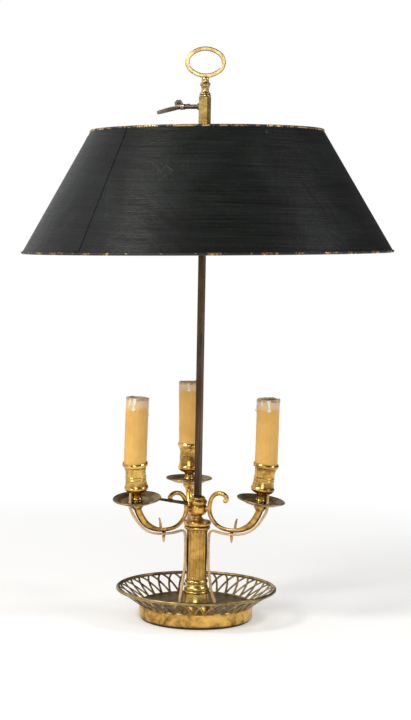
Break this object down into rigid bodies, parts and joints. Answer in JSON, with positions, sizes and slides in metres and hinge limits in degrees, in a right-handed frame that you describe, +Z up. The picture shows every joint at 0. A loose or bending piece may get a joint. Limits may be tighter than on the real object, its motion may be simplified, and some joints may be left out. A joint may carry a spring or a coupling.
{
  "type": "bouillotte lamp",
  "caption": "Table lamp with a conical metal shade that slides on a square rod, curved candle arms on a fluted column, and a pierced dish foot.",
  "frame": {"origin": "centre of the foot on the surface that the lamp stands on, in line with the rod", "axes": "+Z up along the rod, front of the lamp towards -Y, +X to the viewer's right"},
  "size_m": [0.4385, 0.4386, 0.6787],
  "materials": {
    "shade_paint": "hand-brushed black paint with scratches",
    "worn_gilt": "gilt worn down to black",
    "old_brass": "olive brown tarnish, worn bright on its edges",
    "gilt_bronze": "orange gold, dark in its recesses",
    "yellow_brass": "bright polished brass",
    "pan_bronze": "grey brown inside, bright rim",
    "dark_iron": "dark brown iron",
    "worn_steel": "browned steel",
    "dull_bronze": "dull grey brown bronze",
    "candle_cream": "cream yellow with pale drips",
    "holder_black": "moulded black",
    "clean_brass": "plain brass",
    "lead_gold": "clear gold insulation",
    "felt_dark": "dark felt"
  },
  "bodies": {
    "lamp_stand": {"arm_back": "gilt_bronze", "arm_left": "gilt_bronze", "arm_right": "gilt_bronze", "arm_studs": "worn_steel", "arm_vase": "gilt_bronze", "base_nut": "worn_steel", "base_washer": "worn_steel", "bell_base": "yellow_brass", "candle_cup_back": "gilt_bronze", "candle_cup_left": "gilt_bronze", "candle_cup_right": "gilt_bronze", "centre_contact_back": "clean_brass", "centre_contact_left": "clean_brass", "centre_contact_right": "clean_brass", "column_cap": "old_brass", "column_shaft": "gilt_bronze", "cord_inlet_bush": "holder_black", "cup_nuts": "clean_brass", "dish_rim": "old_brass", "drip_pan_back": "pan_bronze", "drip_pan_left": "pan_bronze", "drip_pan_right": "pan_bronze", "felt_ring": "felt_dark", "finial_baluster": "old_brass", "foot_dish": "gilt_bronze", "holder_pipe_back": "clean_brass", "holder_pipe_left": "clean_brass", "holder_pipe_right": "clean_brass", "lampholder_back": "holder_black", "lampholder_left": "holder_black", "lampholder_right": "holder_black", "lead_back": "lead_gold", "lead_bushes": "clean_brass", "lead_left": "lead_gold", "lead_right": "lead_gold", "left_brace": "dark_iron", "pierced_gallery": "old_brass", "ring_handle": "old_brass", "rod_collar": "old_brass", "screw_shell_back": "clean_brass", "screw_shell_left": "clean_brass", "screw_shell_right": "clean_brass", "square_rod": "dark_iron", "terminal_block": "holder_black", "terminal_screws": "clean_brass"},
    "shade_carrier": {"slider_sleeve": "yellow_brass", "screw_boss": "yellow_brass", "shade_spider": "shade_paint", "spider_collar": "yellow_brass", "shade_sheet": "shade_paint", "shade_top_bead": "worn_gilt", "shade_bottom_bead": "worn_gilt", "shade_rivets": "worn_gilt"},
    "clamp_shoe": {"clamp_shoe": "worn_steel"},
    "thumbscrew": {"thumbscrew_shaft": "worn_steel", "thumbscrew_head": "dull_bronze"},
    "candle_sleeve_back": {"candle_tube_back": "candle_cream"},
    "candle_sleeve_left": {"candle_tube_left": "candle_cream"},
    "candle_sleeve_right": {"candle_tube_right": "candle_cream"}
  },
  "joints": [
    {"name": "shade_slide", "type": "slide", "parent": "lamp_stand", "child": "shade_carrier", "axis": [0, 0, 1], "range_m": [-0.2, 0]},
    {"name": "screw_advance", "type": "slide", "parent": "shade_carrier", "child": "clamp_shoe", "axis": [-0.9063, 0.4226, 0], "range_m": [0, 0.0008]},
    {"name": "screw_turn", "type": "hinge", "parent": "clamp_shoe", "child": "thumbscrew", "pos_m": [-0.01813, 0.00845, 0.6088], "axis": [-0.9063, 0.4226, 0], "range_deg": [0, 360]},
    {"name": "sleeve_lift_back", "type": "slide", "parent": "lamp_stand", "child": "candle_sleeve_back", "axis": [-0.0175, 0, 0.9998], "range_m": [0, 0.08]},
    {"name": "sleeve_lift_left", "type": "slide", "parent": "lamp_stand", "child": "candle_sleeve_left", "axis": [0.0208, 0.0128, 0.9997], "range_m": [0, 0.08]},
    {"name": "sleeve_lift_right", "type": "slide", "parent": "lamp_stand", "child": "candle_sleeve_right", "axis": [0.0155, -0.0081, 0.9998], "range_m": [0, 0.08]}
  ],
  "couplings": [
    {"joint": "screw_advance", "follows": "screw_turn", "m_per_rad": 0.00012732}
  ]
}
